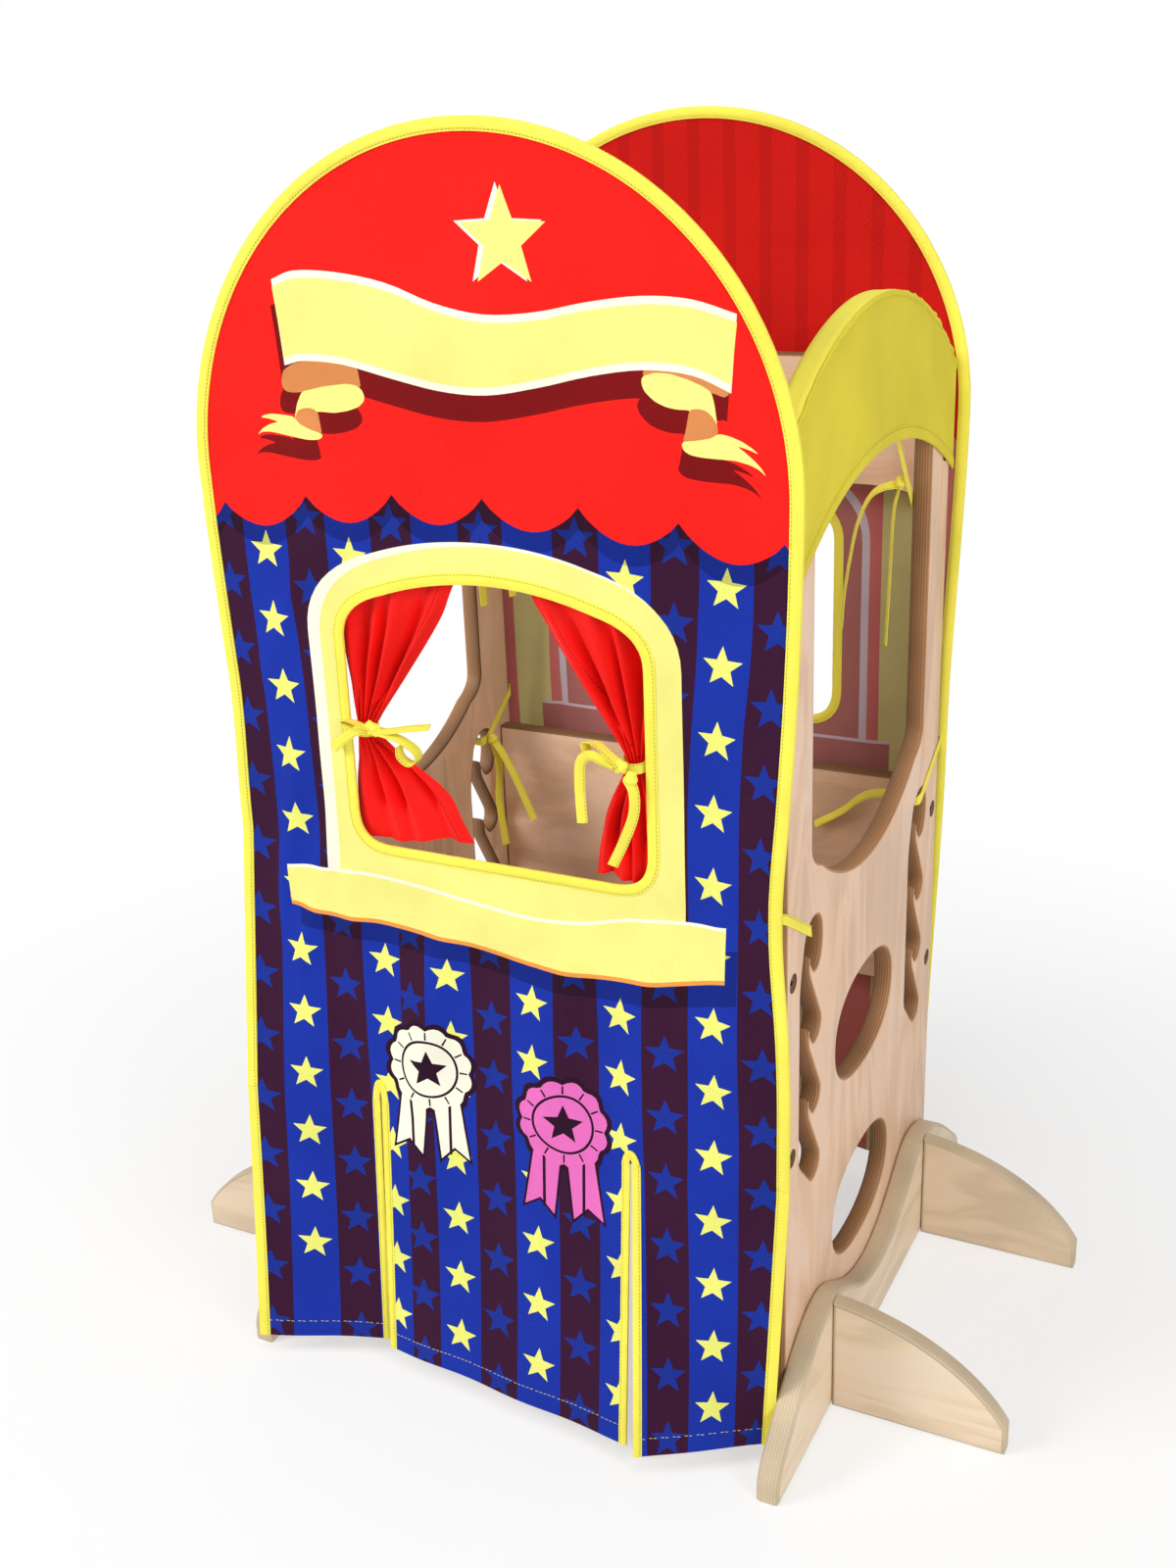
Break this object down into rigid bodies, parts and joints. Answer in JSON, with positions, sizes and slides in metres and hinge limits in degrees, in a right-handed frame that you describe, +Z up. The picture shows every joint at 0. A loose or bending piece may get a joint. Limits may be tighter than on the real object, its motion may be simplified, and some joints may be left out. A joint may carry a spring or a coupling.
{
  "type": "puppet theater stand",
  "caption": "Child's plywood climbing tower with curved side panels and winged feet, dressed as a puppet theater: arched printed cloths, a curtained window and hanging door flaps.",
  "frame": {"origin": "on the floor, at the centre of the footprint", "axes": "+Z up; the theater's front with its window and flaps faces -Y; +X is to the right of a viewer who faces it"},
  "size_m": [0.9032, 0.624, 1.17],
  "materials": {
    "tower_plywood": "satin clear varnish, brown layered edges",
    "birch_plywood": "satin clear varnish, pale layered edges",
    "screw_steel": "zinc plated",
    "hoop_rod": "glass fibre rod",
    "front_print_cloth": "printed polyester cloth",
    "rear_print_cloth": "printed polyester cloth",
    "yellow_cloth": "plain woven binding cloth",
    "red_curtain_cloth": "smooth satin cloth"
  },
  "bodies": {
    "tower": {"front_cloth": "front_print_cloth", "front_edge_binding": "yellow_cloth", "front_hoop_rod": "hoop_rod", "front_lower_panel": "tower_plywood", "front_upper_rail": "tower_plywood", "left_curtain": "red_curtain_cloth", "left_curtain_tie": "yellow_cloth", "left_front_fin": "birch_plywood", "left_front_fin_lower_screw": "screw_steel", "left_front_fin_upper_screw": "screw_steel", "left_front_lower_tie": "yellow_cloth", "left_front_panel_lower_screw": "screw_steel", "left_front_panel_upper_screw": "screw_steel", "left_front_rail_lower_screw": "screw_steel", "left_front_rail_upper_screw": "screw_steel", "left_front_upper_tie": "yellow_cloth", "left_rear_fin": "birch_plywood", "left_rear_fin_lower_screw": "screw_steel", "left_rear_fin_upper_screw": "screw_steel", "left_rear_lower_tie": "yellow_cloth", "left_rear_panel_lower_screw": "screw_steel", "left_rear_panel_upper_screw": "screw_steel", "left_rear_rail_lower_screw": "screw_steel", "left_rear_rail_upper_screw": "screw_steel", "left_rear_upper_tie": "yellow_cloth", "left_side_cover": "yellow_cloth", "left_side_panel": "tower_plywood", "left_stabilizer_board": "birch_plywood", "rear_cloth": "rear_print_cloth", "rear_edge_binding": "yellow_cloth", "rear_hoop_rod": "hoop_rod", "rear_lower_panel": "tower_plywood", "rear_upper_rail": "tower_plywood", "right_curtain": "red_curtain_cloth", "right_curtain_tie": "yellow_cloth", "right_front_fin": "birch_plywood", "right_front_fin_lower_screw": "screw_steel", "right_front_fin_upper_screw": "screw_steel", "right_front_lower_tie": "yellow_cloth", "right_front_panel_lower_screw": "screw_steel", "right_front_panel_upper_screw": "screw_steel", "right_front_rail_lower_screw": "screw_steel", "right_front_rail_upper_screw": "screw_steel", "right_front_upper_tie": "yellow_cloth", "right_rear_fin": "birch_plywood", "right_rear_fin_lower_screw": "screw_steel", "right_rear_fin_upper_screw": "screw_steel", "right_rear_lower_tie": "yellow_cloth", "right_rear_panel_lower_screw": "screw_steel", "right_rear_panel_upper_screw": "screw_steel", "right_rear_rail_lower_screw": "screw_steel", "right_rear_rail_upper_screw": "screw_steel", "right_rear_upper_tie": "yellow_cloth", "right_side_cover": "yellow_cloth", "right_side_panel": "tower_plywood", "right_stabilizer_board": "birch_plywood"},
    "left_flap": {"left_flap": "front_print_cloth"},
    "middle_flap": {"middle_flap": "front_print_cloth"},
    "right_flap": {"right_flap": "front_print_cloth"}
  },
  "joints": [
    {"name": "left_flap_swing", "type": "hinge", "parent": "tower", "child": "left_flap", "pos_m": [-0.2055, -0.244, 0.283], "axis": [-1, 0, 0], "range_deg": [-2.4, 75]},
    {"name": "middle_flap_swing", "type": "hinge", "parent": "tower", "child": "middle_flap", "pos_m": [-0.0078, -0.244, 0.283], "axis": [-1, 0, 0], "range_deg": [-20, 75]},
    {"name": "right_flap_swing", "type": "hinge", "parent": "tower", "child": "right_flap", "pos_m": [0.1977, -0.244, 0.283], "axis": [-1, 0, 0], "range_deg": [-5, 75]}
  ]
}
